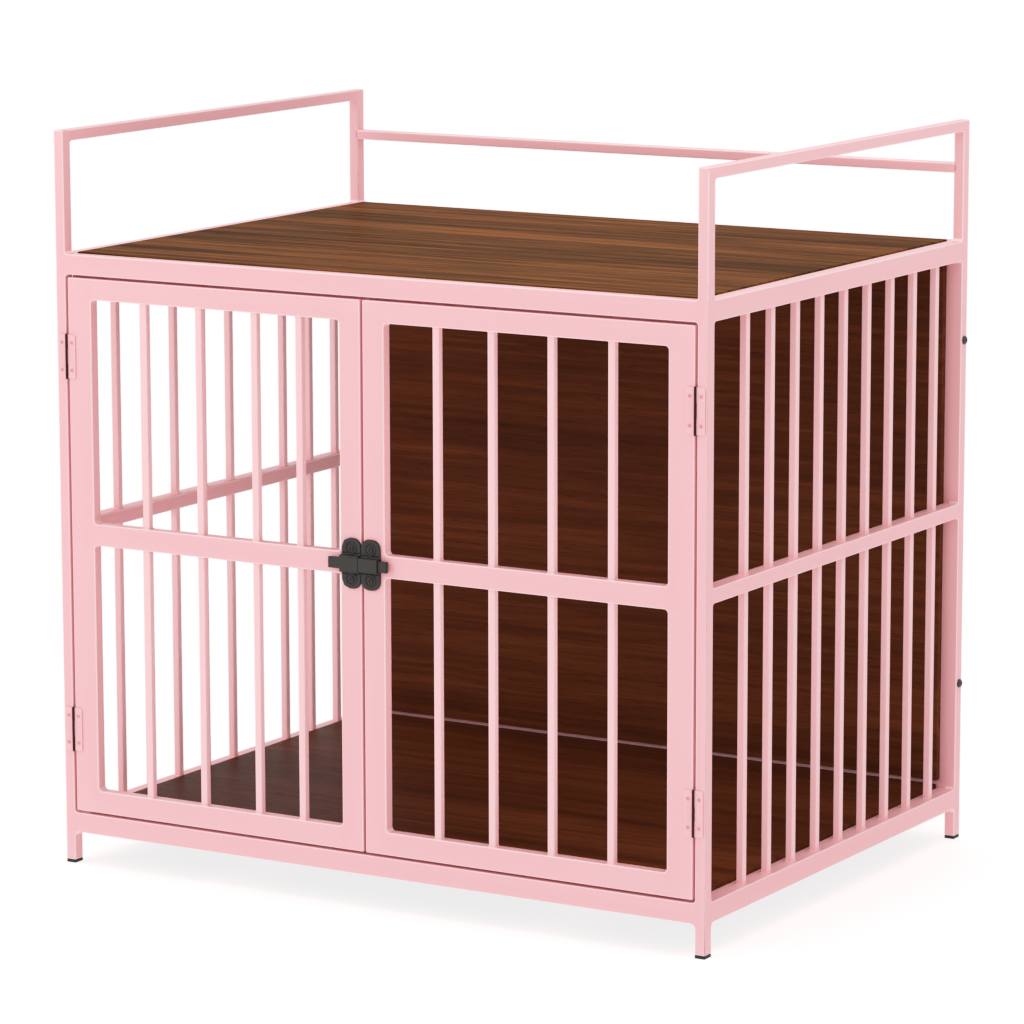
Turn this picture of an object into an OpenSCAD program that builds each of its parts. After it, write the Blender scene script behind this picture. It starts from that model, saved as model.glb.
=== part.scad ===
// Furniture dog crate: a welded tube frame with barred sides, two barred doors at the front,
// wood top, floor and back panels, and a guard rail round three sides of the top.
// Millimetres. X runs to the right seen from the front, Y to the back and Z up.
// The origin is on the ground, under the middle of the whole crate.

/* [Overall] */
// Width over the posts
width = 800; // [660:1:960]
// Depth over the posts
depth = 600; // [480:1:720]
// Height to the top of the side guard rails
height = 808; // [760:1:970]
// Height to the top of the upper rails
table_height = 675; // [560:1:740]
// Clear height of the legs under the lower rails
leg_height = 35.5; // [28:0.5:60]
// Height to the top of the middle rails
mid_height = 382.5; // [320:0.5:440]

/* [Tubes] */
// Width of a post, side to side
post_w = 12; // [10:0.5:16]
// Depth of a post, front to back
post_d = 14; // [12:0.5:18]
// Wall of every tube
wall = 1.5; // [1:0.1:2]
// Thickness of the strip behind the upper front rail that stops the doors
stop_t = 2; // [1.5:0.5:3]
// How far the door stop hangs below the upper front rail
stop_drop = 8; // [5:1:15]
// Rounding of the long edges of a tube
tube_corner = 2; // [1:0.1:3]
// Height of the upper and lower rails
rail_h = 22; // [18:1:28]
// How far the rear lower rail reaches up behind the back panel
back_lap = 3; // [2:0.5:12]
// Width of the upper and middle side rails
side_rail_w = 18; // [14:1:24]
// Width of the lower side rails
side_bottom_rail_w = 22; // [16:1:28]
// Height of the middle side rails
mid_rail_h = 16; // [12:1:22]
// Width of the stiles beside the back panel
back_stile_w = 18; // [14:1:24]

/* [Guard rail] */
// Height of a side guard rail
guard_h = 12; // [8:0.5:14]
// Height of the rear guard rail
rear_guard_h = 11; // [8:0.5:14]
// Depth of the rear guard rail
rear_guard_d = 12; // [8:0.5:14]
// How far the rear guard rail stands below the side ones
rear_guard_drop = 47; // [20:1:80]

/* [Bars] */
// Thickness of a bar
bar = 8; // [6:0.5:10]
// Rounding of the long edges of a bar
bar_corner = 2; // [1:0.1:2.5]
// Clear gap between side bars
side_bar_gap = 47; // [35:1:60]
// Clear gap between a front post and the first side bar
side_front_gap = 77; // [50:1:90]
// Clear gap between door bars, counted from the hinge stile
door_bar_gap = 63; // [45:1:75]
// Least clear gap on each side of the last bar of a door
last_gap_min = 40; // [20:1:45]

/* [Doors] */
// Thickness of a door
door_t = 13; // [10:0.5:13.5]
// Gap between a door and what it closes against
door_gap = 3; // [2.5:0.5:4]
// Place of the line where the doors meet, from the middle
meeting_x = -10; // [-20:1:20]
// Width of a hinge stile
hinge_stile_w = 30; // [24:1:36]
// Width of a lock stile
lock_stile_w = 26; // [25:1:32]
// Height of a door's top rail
door_top_rail_h = 23; // [18:1:30]
// Height of a door's middle rail
door_mid_rail_h = 24; // [18:1:30]
// Height of a door's bottom rail
door_bottom_rail_h = 25; // [18:1:30]

/* [Panels] */
// Thickness of the top panel
top_t = 12; // [9:1:15]
// How far the top panel stands above the rails round it
top_proud = 1.5; // [0:0.5:3]
// Thickness of the floor panel
floor_t = 12; // [9:1:15]
// How far the floor panel stands above the side rails
floor_proud = 4; // [0:0.5:6]
// Thickness of the back panel
back_t = 9; // [6:1:12]
// Gap between the floor and the bottom edge of the back panel
back_lift = 5.5; // [3:0.5:8]
// Gap round the edge of each panel
panel_gap = 0.5; // [0.3:0.1:1]
// Width of a bar that carries the top or the floor panel
carrier_w = 20; // [15:1:30]
// Height of a bar that carries the top or the floor panel
carrier_h = 9; // [8:0.5:12]

/* [Hinges] */
// Height of a hinge
hinge_h = 48; // [36:1:60]
// Distance from a door's top edge to its upper hinge
hinge_top_inset = 62; // [40:1:90]
// Distance from a door's bottom edge to its lower hinge
hinge_bottom_inset = 67; // [40:1:90]
// Reach of a leaf from the pin
leaf_w = 11; // [8:0.5:12]
// Thickness of a leaf
leaf_t = 1.2; // [0.8:0.1:1.5]
// Radius of a knuckle
knuckle_r = 1.4; // [1.3:0.1:2]
// Radius of a hinge pin
pin_r = 0.8; // [0.6:0.1:1]
// Running clearance of a pin, on the radius
pin_clearance = 0.05; // [0.02:0.01:0.1]
// Space between parts that pass each other
pass_gap = 0.3; // [0.2:0.1:0.5]

/* [Latch] */
// Depth of the middle of the latch below the top of the middle rails
latch_drop = 11.5; // [0:0.5:20]
// Width of a latch plate
latch_w = 23.5; // [20:0.5:24]
// Thickness of a latch plate
latch_t = 2.5; // [2:0.5:3]
// Radius of the round ends of a latch plate
lobe_r = 10.5; // [8:0.5:11]
// Distance from the middle of the latch to a screw
lobe_rise = 16.5; // [14:0.5:20]
// Height of the sliding bolt
bolt_h = 12; // [8:0.5:13]
// Thickness of the sliding bolt
bolt_t = 4; // [3:0.5:5]
// Throw of the sliding bolt
bolt_throw = 12; // [10:0.5:13]
// Length of the bolt's tail outside its guide
tail = 14.5; // [14:0.5:20]
// Length of the stop arm on the keeper
arm = 11; // [8:0.5:14]

/* [Fasteners and feet] */
// Radius of a wood screw
screw_r = 2; // [1.5:0.1:2.5]
// Radius of a hinge or latch screw
small_screw_r = 1; // [0.8:0.1:1.2]
// Radius of a frame bolt
frame_bolt_r = 2.5; // [2:0.1:3]
// Radius of a frame bolt's round head
frame_bolt_head_r = 4.7; // [4:0.1:5]
// Height of the lower frame bolts
low_bolt_height = 178; // [120:1:300]
// Height of the upper frame bolts
high_bolt_height = 565; // [450:1:600]
// Height of a foot under its post
foot_h = 3.5; // [3:0.5:8]
// Length of the plug that holds a foot in its post
foot_plug = 12; // [8:1:20]

/* [Hidden] */
$fn = 48;

pink = [0.96, 0.77, 0.80];
walnut = [0.35, 0.19, 0.11];
black = [0.14, 0.13, 0.13];
zinc = [0.72, 0.73, 0.75];

half_w = width / 2;
inner_x = half_w - post_w;            // inner face of a post
rear_y = depth - post_d;              // front face of a rear post
side_x = half_w - side_rail_w;        // inner face of an upper or middle side rail
side_bottom_x = half_w - side_bottom_rail_w;
top_rail_z = table_height - rail_h;   // underside of the upper rails
bottom_rail_top = leg_height + rail_h;
mid_rail_z = mid_height - mid_rail_h;

// Doors
door_z = bottom_rail_top + door_gap;
door_top = top_rail_z - door_gap;
left_door_x = -inner_x + door_gap;
right_door_x = inner_x - door_gap;
left_door_w = meeting_x - door_gap / 2 - left_door_x;
right_door_w = right_door_x - meeting_x - door_gap / 2;
door_bar_pitch = door_bar_gap + bar;

// Side bars: the gap at the front is set, and the rest are shared out behind it
side_bar_run = rear_y - post_d - side_front_gap;
side_bar_count = round(side_bar_run / (side_bar_gap + bar));
side_bar_pitch = side_bar_run / side_bar_count;
side_bar_x = half_w - side_rail_w / 2;

// Panels
top_panel_z = table_height + top_proud - top_t;
floor_top = bottom_rail_top + floor_proud;
floor_z = floor_top - floor_t;
back_panel_z = floor_top + back_lift;
rear_rail_top = back_panel_z + back_lap;
carrier_x = width / 4;
carrier_screw_share = [0.15, 0.5, 0.85];
back_screw_share = [0.08, 0.5, 0.92];
back_screw_edge = 6;

// Hinges
pin_y = -(knuckle_r + 0.2);
knuckle_count = 3;
knuckle_h = (hinge_h - (knuckle_count - 1) * pass_gap) / knuckle_count;
pin_head_r = knuckle_r - 0.2;
pin_head_h = 0.8;
hinge_screw_inset = 9;
hinge_screw_x = leaf_w - 4.5;
small_head_r = 1.9;
small_head_h = 0.5;
small_screw_l = 6;
hinge_bases = [door_z + hinge_bottom_inset, door_top - hinge_top_inset - hinge_h];

// Latch
latch_height = mid_height - latch_drop;
bolt_play = 0.3;                      // space round the bolt in its guide
guide_wall = 1.6;
guide_half_h = bolt_h / 2 + bolt_play + guide_wall;
channel_h = bolt_h + 2 * bolt_play;
channel_d = bolt_t + 2 * bolt_play;
guide_reach = latch_t + channel_d + guide_wall;
plate_overhang = 0.7;                 // reach of the latch plate over the gap between the doors
keeper_overhang = door_gap - plate_overhang - pass_gap;
latch_x = meeting_x - door_gap / 2 + plate_overhang - latch_w;
keeper_x = meeting_x + door_gap / 2 - keeper_overhang;
socket_depth = bolt_throw + 2;
head_r = 4;
head_h = 2;
latch_screw_head_r = 3.4;
latch_screw_head_h = 1;

// The latch reaches furthest forward, so the middle of the whole is half of that ahead
front_y = -(depth - guide_reach) / 2;

module placed() {
    translate([0, front_y, 0]) children();
}

module mirrored_if(flip) {
    if (flip) {
        mirror([1, 0, 0]) children();
    } else {
        children();
    }
}

// Rectangle with round corners, its lower left corner at the origin
module round_rect(a, b, r) {
    translate([r, 0]) square([a - 2 * r, b]);
    translate([0, r]) square([a, b - 2 * r]);
    for (x = [r, a - r], y = [r, b - r]) {
        translate([x, y]) circle(r);
    }
}

module tube_section(a, b) {
    difference() {
        round_rect(a, b, tube_corner);
        translate([wall, wall]) square([a - 2 * wall, b - 2 * wall]);
    }
}

// Tubes along X, Y and Z, from one corner to the opposite one
module tube_x(from, to) {
    translate(from) rotate([90, 0, 90]) linear_extrude(to[0] - from[0])
        tube_section(to[1] - from[1], to[2] - from[2]);
}

module tube_y(from, to) {
    translate([from[0], to[1], from[2]]) rotate([90, 0, 0]) linear_extrude(to[1] - from[1])
        tube_section(to[0] - from[0], to[2] - from[2]);
}

module tube_z(from, to) {
    translate(from) linear_extrude(to[2] - from[2])
        tube_section(to[0] - from[0], to[1] - from[1]);
}

module block(from, to) {
    translate(from) cube(to - from);
}

// Round bar from a point, along one of the axes
module rod_x(from, r, l) {
    translate(from) rotate([0, 90, 0]) cylinder(r = r, h = l);
}

module rod_y(from, r, l) {
    translate(from) rotate([-90, 0, 0]) cylinder(r = r, h = l);
}

module rod_z(from, r, l) {
    translate(from) cylinder(r = r, h = l);
}

module bar_z(x, y, z, l) {
    translate([x - bar / 2, y - bar / 2, z]) linear_extrude(l)
        round_rect(bar, bar, bar_corner);
}

// ---- Posts, modelled on the right and mirrored for the left ----

module post(y, holes_y, holes_x) {
    difference() {
        tube_z([inner_x, y, foot_h], [half_w, y + post_d, height - wall]);
        for (z = holes_y, dz = [hinge_screw_inset, hinge_h - hinge_screw_inset]) {
            rod_y([hinge_axis_x() + hinge_screw_x, -1, z + dz], small_screw_r, post_d / 2);
        }
        for (z = holes_x) {
            rod_x([inner_x - 1, y + post_d / 2, z], frame_bolt_r, post_w + 2);
        }
    }
    translate([inner_x, y, height - wall]) linear_extrude(wall)
        round_rect(post_w, post_d, tube_corner);
}

function hinge_axis_x() = inner_x - door_gap / 2;

module front_post(flip) {
    placed() color(pink) mirrored_if(flip) post(0, hinge_bases, []);
}

module rear_post(flip) {
    placed() color(pink) mirrored_if(flip) post(rear_y, [], [low_bolt_height, high_bolt_height]);
}

module left_front_post() {
    front_post(true);
}

module right_front_post() {
    front_post(false);
}

module left_rear_post() {
    rear_post(true);
}

module right_rear_post() {
    rear_post(false);
}

// ---- Guard rail ----

module side_guard_rail(flip) {
    placed() color(pink) mirrored_if(flip)
        tube_y([inner_x, post_d, height - guard_h], [half_w, rear_y, height]);
}

module left_guard_rail() {
    side_guard_rail(true);
}

module right_guard_rail() {
    side_guard_rail(false);
}

module rear_guard_rail() {
    placed() color(pink)
        tube_x([-inner_x, rear_y, height - rear_guard_drop - rear_guard_h],
               [inner_x, rear_y + rear_guard_d, height - rear_guard_drop]);
}

// ---- Upper rails ----

module front_top_rail() {
    placed() color(pink) tube_x([-inner_x, 0, top_rail_z], [inner_x, post_d, table_height]);
}

module rear_top_rail() {
    placed() color(pink) tube_x([-inner_x, rear_y, top_rail_z], [inner_x, depth, table_height]);
}

module side_top_rail(flip) {
    placed() color(pink) mirrored_if(flip)
        tube_y([side_x, post_d, top_rail_z], [half_w, rear_y, table_height]);
}

module left_top_rail() {
    side_top_rail(true);
}

module right_top_rail() {
    side_top_rail(false);
}

// A strip behind the front rail; its lower lip also closes the corners under the side rails
module door_stop() {
    low = top_rail_z - stop_drop;
    far = post_d + stop_t;
    placed() color(pink) {
        block([-side_x + panel_gap, post_d, low], [side_x - panel_gap, far, top_panel_z - panel_gap]);
        block([-inner_x, post_d, low], [inner_x, far, top_rail_z - panel_gap]);
    }
}

// ---- Lower rails ----

module front_bottom_rail() {
    placed() color(pink) tube_x([-inner_x, 0, leg_height], [inner_x, post_d, bottom_rail_top]);
}

module rear_bottom_rail() {
    placed() color(pink)
        tube_x([-inner_x, rear_y, leg_height], [inner_x, depth, rear_rail_top]);
}

module side_bottom_rail(flip) {
    placed() color(pink) mirrored_if(flip)
        tube_y([side_bottom_x, post_d, leg_height], [half_w, rear_y, bottom_rail_top]);
}

module left_bottom_rail() {
    side_bottom_rail(true);
}

module right_bottom_rail() {
    side_bottom_rail(false);
}

// ---- Middle rails and bars of the sides ----

module side_mid_rail(flip) {
    placed() color(pink) mirrored_if(flip)
        tube_y([side_x, post_d, mid_rail_z], [half_w, rear_y, mid_height]);
}

module left_mid_rail() {
    side_mid_rail(true);
}

module right_mid_rail() {
    side_mid_rail(false);
}

module side_bars(flip) {
    placed() color(pink) mirrored_if(flip) {
        for (k = [0 : side_bar_count - 1]) {
            y = post_d + side_front_gap + k * side_bar_pitch + bar / 2;
            bar_z(side_bar_x, y, bottom_rail_top, mid_rail_z - bottom_rail_top);
            bar_z(side_bar_x, y, mid_height, top_rail_z - mid_height);
        }
    }
}

module left_side_bars() {
    side_bars(true);
}

module right_side_bars() {
    side_bars(false);
}

// ---- Back frame ----

module back_stile(flip) {
    placed() color(pink) mirrored_if(flip) difference() {
        tube_z([inner_x - back_stile_w, rear_y, rear_rail_top], [inner_x, depth, top_rail_z]);
        back_screws_right(true);
        for (z = [low_bolt_height, high_bolt_height]) {
            rod_x([inner_x - back_stile_w / 2, rear_y + post_d / 2, z], frame_bolt_r, back_stile_w);
        }
    }
}

module left_back_stile() {
    back_stile(true);
}

module right_back_stile() {
    back_stile(false);
}

function back_panel_x() = side_x - panel_gap;
function back_panel_top() = top_panel_z - carrier_h - panel_gap;

// Screws through the right stile into the back panel; cutting makes room for them
module back_screws_right(cutting) {
    for (share = back_screw_share) {
        z = rear_rail_top + share * (top_rail_z - rear_rail_top);
        x = back_panel_x() - back_screw_edge;
        back = cutting ? 1 : 0;
        translate([x, depth + back, z]) rotate([90, 0, 0])
            cylinder(r = screw_r, h = post_d + back_t * 2 / 3 + back);
        translate([x, depth, z]) rotate([90, 0, 0])
            cylinder(r1 = screw_r + wall, r2 = screw_r, h = wall);
    }
}

module back_panel() {
    placed() color(walnut) difference() {
        block([-back_panel_x(), rear_y - back_t, back_panel_z],
              [back_panel_x(), rear_y, back_panel_top()]);
        back_screws_right(true);
        mirror([1, 0, 0]) back_screws_right(true);
    }
}

module back_screws() {
    placed() color(zinc) {
        back_screws_right(false);
        mirror([1, 0, 0]) back_screws_right(false);
    }
}

// ---- Top and floor: a panel on two carriers, screwed from below ----

module carrier_pair(z, y) {
    for (x = [-carrier_x, carrier_x]) {
        tube_y([x - carrier_w / 2, y, z - carrier_h], [x + carrier_w / 2, rear_y, z]);
    }
}

module carrier_screws(z, bite) {
    run_y = rear_y - post_d;
    for (x = [-carrier_x, carrier_x], share = carrier_screw_share) {
        y = post_d + share * run_y;
        rod_z([x, y, z - carrier_h - head_h], head_r, head_h);
        rod_z([x, y, z - carrier_h - head_h], screw_r, head_h + carrier_h + bite);
    }
}

top_bite = top_t * 2 / 3;
floor_bite = floor_t * 2 / 3;

module top_panel() {
    placed() color(walnut) difference() {
        block([-side_x + panel_gap, post_d + panel_gap, top_panel_z],
              [side_x - panel_gap, rear_y - panel_gap, top_panel_z + top_t]);
        carrier_screws(top_panel_z, top_bite);
    }
}

module top_carriers() {
    placed() color(pink) difference() {
        carrier_pair(top_panel_z, post_d + stop_t);
        carrier_screws(top_panel_z, top_bite);
    }
}

module top_screws() {
    placed() color(zinc) carrier_screws(top_panel_z, top_bite);
}

module floor_panel() {
    placed() color(walnut) difference() {
        block([-side_bottom_x + panel_gap, post_d + panel_gap, floor_z],
              [side_bottom_x - panel_gap, rear_y - panel_gap, floor_top]);
        carrier_screws(floor_z, floor_bite);
    }
}

module floor_carriers() {
    placed() color(pink) difference() {
        carrier_pair(floor_z, post_d);
        carrier_screws(floor_z, floor_bite);
    }
}

module floor_screws() {
    placed() color(zinc) carrier_screws(floor_z, floor_bite);
}

// ---- Frame bolts and feet ----

module frame_bolt(z) {
    y = rear_y + post_d / 2;
    rim = 1;
    dome = 1.8;
    socket_r = 1.7;
    difference() {
        union() {
            rod_x([inner_x - back_stile_w / 2, y, z], frame_bolt_r, post_w + back_stile_w / 2);
            rod_x([half_w, y, z], frame_bolt_head_r, rim);
            translate([half_w + rim, y, z]) rotate([0, 90, 0])
                cylinder(r1 = frame_bolt_head_r, r2 = frame_bolt_head_r - dome, h = dome);
        }
        translate([half_w + rim, y, z]) rotate([0, 90, 0]) cylinder(r = socket_r, h = dome + 1, $fn = 6);
    }
}

module frame_bolts() {
    placed() color(black) for (flip = [false, true], z = [low_bolt_height, high_bolt_height]) {
        mirrored_if(flip) frame_bolt(z);
    }
}

module foot(y) {
    translate([inner_x, y, 0]) linear_extrude(foot_h) round_rect(post_w, post_d, tube_corner);
    block([inner_x + wall, y + wall, foot_h], [half_w - wall, y + post_d - wall, foot_h + foot_plug]);
}

module feet() {
    placed() color(black) for (flip = [false, true], y = [0, rear_y]) {
        mirrored_if(flip) foot(y);
    }
}

// ---- Hinges, in the place of the right door's; z is the bottom of the hinge ----

// Height of the bottom of knuckle k
function knuckle_z(k) = k * (knuckle_h + pass_gap);

// side is 1 for the leaf on the post and -1 for the leaf on the door
module leaf(z, side, knuckles, bore_r) {
    clear_x = knuckle_r + pass_gap;
    difference() {
        union() {
            leaf_plate(side, clear_x, leaf_w, z, hinge_h);
            for (k = knuckles) {
                leaf_plate(side, 0, clear_x + 1, z + knuckle_z(k), knuckle_h);
                rod_z([hinge_axis_x(), pin_y, z + knuckle_z(k)], knuckle_r, knuckle_h);
            }
        }
        rod_z([hinge_axis_x(), pin_y, z - 1], bore_r, hinge_h + 2);
        leaf_screws(z, side, small_screw_r);
    }
}

module leaf_plate(side, x0, x1, z, h) {
    from = side > 0 ? hinge_axis_x() + x0 : hinge_axis_x() - x1;
    block([from, -leaf_t, z], [from + x1 - x0, 0, z + h]);
}

module leaf_screws(z, side, r) {
    for (dz = [hinge_screw_inset, hinge_h - hinge_screw_inset]) {
        rod_y([hinge_axis_x() + side * hinge_screw_x, -leaf_t - 1, z + dz], r, small_screw_l + 1);
    }
}

module hinge_screws(side) {
    for (z = hinge_bases, dz = [hinge_screw_inset, hinge_h - hinge_screw_inset]) {
        x = hinge_axis_x() + side * hinge_screw_x;
        rod_y([x, -leaf_t - small_head_h, z + dz], small_head_r, small_head_h);
        rod_y([x, -leaf_t - small_head_h, z + dz], small_screw_r, small_screw_l);
    }
}

module post_hinge_leaves(flip) {
    placed() color(pink) mirrored_if(flip) for (z = hinge_bases) {
        leaf(z, 1, [0, 2], pin_r);
    }
}

module left_post_hinge_leaves() {
    post_hinge_leaves(true);
}

module right_post_hinge_leaves() {
    post_hinge_leaves(false);
}

module door_hinge_leaves(flip) {
    placed() color(pink) mirrored_if(flip) for (z = hinge_bases) {
        leaf(z, -1, [1], pin_r + pin_clearance);
    }
}

module left_door_hinge_leaves() {
    door_hinge_leaves(true);
}

module right_door_hinge_leaves() {
    door_hinge_leaves(false);
}

module hinge_pins(flip) {
    placed() color(zinc) mirrored_if(flip) for (z = hinge_bases) {
        rod_z([hinge_axis_x(), pin_y, z], pin_r, hinge_h);
        for (end = [z - pin_head_h, z + hinge_h]) {
            rod_z([hinge_axis_x(), pin_y, end], pin_head_r, pin_head_h);
        }
    }
}

module left_hinge_pins() {
    hinge_pins(true);
}

module right_hinge_pins() {
    hinge_pins(false);
}

module post_hinge_screws() {
    placed() color(zinc) {
        hinge_screws(1);
        mirror([1, 0, 0]) hinge_screws(1);
    }
}

module door_hinge_screws(flip) {
    placed() color(zinc) mirrored_if(flip) hinge_screws(-1);
}

module left_door_hinge_screws() {
    door_hinge_screws(true);
}

module right_door_hinge_screws() {
    door_hinge_screws(false);
}

// ---- Doors, in a door's own frame: X from the hinge edge to the lock edge ----

module on_door(flip) {
    x = flip ? left_door_x : right_door_x;
    placed() translate([x, 0, 0]) mirrored_if(!flip) children();
}

function door_w(flip) = flip ? left_door_w : right_door_w;

module door_hinge_stile(flip) {
    color(pink) difference() {
        on_door(flip) tube_z([0, 0, door_z], [hinge_stile_w, door_t, door_top]);
        placed() mirrored_if(flip) for (z = hinge_bases) {
            leaf_screws(z, -1, small_screw_r);
        }
    }
}

module door_lock_stile(flip, screw_x) {
    w = door_w(flip);
    color(pink) difference() {
        on_door(flip) tube_z([w - lock_stile_w, 0, door_z], [w, door_t, door_top]);
        placed() latch_screws(screw_x, small_screw_r);
    }
}

module door_rail(flip, z, h) {
    color(pink) on_door(flip)
        tube_x([hinge_stile_w, 0, z], [door_w(flip) - lock_stile_w, door_t, z + h]);
}

function door_mid_z() = mid_height - door_mid_rail_h;

module door_bars(flip) {
    lock_x = door_w(flip) - lock_stile_w;
    // The last bar halves the gap that is left, and the others keep the set gap
    evenly = floor((lock_x - hinge_stile_w - bar - 2 * last_gap_min) / door_bar_pitch);
    last_x = (hinge_stile_w + evenly * door_bar_pitch + lock_x) / 2;
    low = door_z + door_bottom_rail_h;
    high = door_top - door_top_rail_h;
    color(pink) on_door(flip) for (k = [1 : evenly + 1]) {
        x = k > evenly ? last_x : hinge_stile_w + k * door_bar_pitch - bar / 2;
        bar_z(x, door_t / 2, low, door_mid_z() - low);
        bar_z(x, door_t / 2, mid_height, high - mid_height);
    }
}

module left_door_hinge_stile() {
    door_hinge_stile(true);
}

module right_door_hinge_stile() {
    door_hinge_stile(false);
}

module left_door_lock_stile() {
    door_lock_stile(true, plate_screw_x);
}

module right_door_lock_stile() {
    door_lock_stile(false, keeper_screw_x);
}

module left_door_top_rail() {
    door_rail(true, door_top - door_top_rail_h, door_top_rail_h);
}

module right_door_top_rail() {
    door_rail(false, door_top - door_top_rail_h, door_top_rail_h);
}

module left_door_mid_rail() {
    door_rail(true, door_mid_z(), door_mid_rail_h);
}

module right_door_mid_rail() {
    door_rail(false, door_mid_z(), door_mid_rail_h);
}

module left_door_bottom_rail() {
    door_rail(true, door_z, door_bottom_rail_h);
}

module right_door_bottom_rail() {
    door_rail(false, door_z, door_bottom_rail_h);
}

module left_door_bars() {
    door_bars(true);
}

module right_door_bars() {
    door_bars(false);
}

// ---- Latch ----

plate_screw_x = latch_x + latch_w / 2;
keeper_screw_x = keeper_x + latch_w / 2;

// A plate with two round ends and a raised guide across its middle; x is its left edge
module latch_body(x) {
    middle = x + latch_w / 2;
    translate([0, 0, latch_height]) {
        for (side = [-1, 1]) {
            rod_y([middle, -latch_t, side * lobe_rise], lobe_r, latch_t);
        }
        block([x, -latch_t, -lobe_rise], [x + latch_w, 0, lobe_rise]);
        block([x, -guide_reach, -guide_half_h], [x + latch_w, 0, guide_half_h]);
    }
}

module channel(x0, x1) {
    block([x0, -latch_t - channel_d, latch_height - channel_h / 2],
          [x1, -latch_t, latch_height + channel_h / 2]);
}

module latch_screws(x, r) {
    for (side = [-1, 1]) {
        rod_y([x, -latch_t - latch_screw_head_h, latch_height + side * lobe_rise], r, door_t / 2);
    }
}

module latch_screw_heads(x) {
    for (side = [-1, 1]) {
        rod_y([x, -latch_t - latch_screw_head_h, latch_height + side * lobe_rise],
              latch_screw_head_r, latch_screw_head_h);
    }
}

module latch_plate() {
    placed() color(black) difference() {
        latch_body(latch_x);
        channel(latch_x - 1, latch_x + latch_w + 1);
        latch_screws(plate_screw_x, small_screw_r);
    }
}

module latch_keeper() {
    arm_x = keeper_x + latch_w;
    placed() color(black) difference() {
        union() {
            latch_body(keeper_x);
            block([arm_x - 1, -latch_t - bolt_play - bolt_t, latch_height - bolt_h / 2],
                  [arm_x + arm, -latch_t - bolt_play, latch_height + bolt_h / 2]);
        }
        channel(keeper_x - 1, keeper_x + socket_depth);
        latch_screws(keeper_screw_x, small_screw_r);
    }
}

module latch_plate_screws() {
    placed() color(black) {
        latch_screws(plate_screw_x, small_screw_r);
        latch_screw_heads(plate_screw_x);
    }
}

module latch_keeper_screws() {
    placed() color(black) {
        latch_screws(keeper_screw_x, small_screw_r);
        latch_screw_heads(keeper_screw_x);
    }
}

module latch_bolt() {
    placed() color(black)
        block([latch_x - tail, -latch_t - bolt_play - bolt_t, latch_height - bolt_h / 2],
              [latch_x + latch_w, -latch_t - bolt_play, latch_height + bolt_h / 2]);
}

left_front_post();
right_front_post();
left_rear_post();
right_rear_post();
left_guard_rail();
right_guard_rail();
rear_guard_rail();
front_top_rail();
rear_top_rail();
left_top_rail();
right_top_rail();
door_stop();
front_bottom_rail();
rear_bottom_rail();
left_bottom_rail();
right_bottom_rail();
left_mid_rail();
right_mid_rail();
left_side_bars();
right_side_bars();
left_back_stile();
right_back_stile();
top_panel();
floor_panel();
back_panel();
top_carriers();
floor_carriers();
top_screws();
floor_screws();
back_screws();
frame_bolts();
feet();
left_post_hinge_leaves();
right_post_hinge_leaves();
left_hinge_pins();
right_hinge_pins();
post_hinge_screws();
left_door_hinge_stile();
left_door_lock_stile();
left_door_top_rail();
left_door_mid_rail();
left_door_bottom_rail();
left_door_bars();
left_door_hinge_leaves();
left_door_hinge_screws();
right_door_hinge_stile();
right_door_lock_stile();
right_door_top_rail();
right_door_mid_rail();
right_door_bottom_rail();
right_door_bars();
right_door_hinge_leaves();
right_door_hinge_screws();
latch_plate();
latch_plate_screws();
latch_keeper();
latch_keeper_screws();
latch_bolt();
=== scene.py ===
# %% [markdown]
# # A barred dog crate with a wood top
#
# The crate is a welded frame of powder-coated square tube, with two barred doors at the front, three
# laminate boards, four butt hinges and a black cast slide bolt. The measured parts come from the CAD
# model. This lesson gives each of them the shape and finish of the real thing.

# %% Load the measured frame
import math

import bmesh
import bpy
from mathutils import Matrix, Vector


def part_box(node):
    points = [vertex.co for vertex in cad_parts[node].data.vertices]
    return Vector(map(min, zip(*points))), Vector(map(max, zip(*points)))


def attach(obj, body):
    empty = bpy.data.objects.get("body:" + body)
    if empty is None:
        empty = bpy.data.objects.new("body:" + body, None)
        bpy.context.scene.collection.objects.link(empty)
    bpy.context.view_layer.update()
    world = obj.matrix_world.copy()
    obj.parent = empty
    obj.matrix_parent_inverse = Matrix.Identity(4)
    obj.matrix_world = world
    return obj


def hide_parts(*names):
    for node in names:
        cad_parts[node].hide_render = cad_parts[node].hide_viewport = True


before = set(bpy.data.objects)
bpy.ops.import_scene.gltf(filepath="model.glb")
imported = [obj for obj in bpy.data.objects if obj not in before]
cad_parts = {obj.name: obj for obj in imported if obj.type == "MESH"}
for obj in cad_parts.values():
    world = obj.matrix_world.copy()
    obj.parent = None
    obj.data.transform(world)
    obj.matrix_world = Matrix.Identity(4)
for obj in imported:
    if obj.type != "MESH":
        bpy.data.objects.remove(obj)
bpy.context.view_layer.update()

# %% [markdown]
# ## Working in millimetres
#
# The crate is drawn in millimetres, because a maker thinks in them, and each finished piece is scaled
# to metres once. `span` gives the box round some measured parts, so a piece is never placed by eye.

# %% Read sizes from the measured parts
MM = 0.001


def span(*nodes):
    """The box round some measured parts: its low and high corners, in millimetres."""
    lows, highs = zip(*(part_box(node) for node in nodes))
    low = Vector(min(corner[axis] for corner in lows) for axis in range(3)) / MM
    high = Vector(max(corner[axis] for corner in highs) for axis in range(3)) / MM
    return low, high


post_low, post_high = span("right_front_post")
print("front post, mm:", [round(v, 2) for v in post_high - post_low])

# %% [markdown]
# ## Shader maths as Python sums
#
# A finish mixes patterns, and every sum in it would need its own Math node. `Wire` wraps one socket and
# overloads the operators, so that `1 - mask` adds the node by itself. `Finish` makes every other node.

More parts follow.
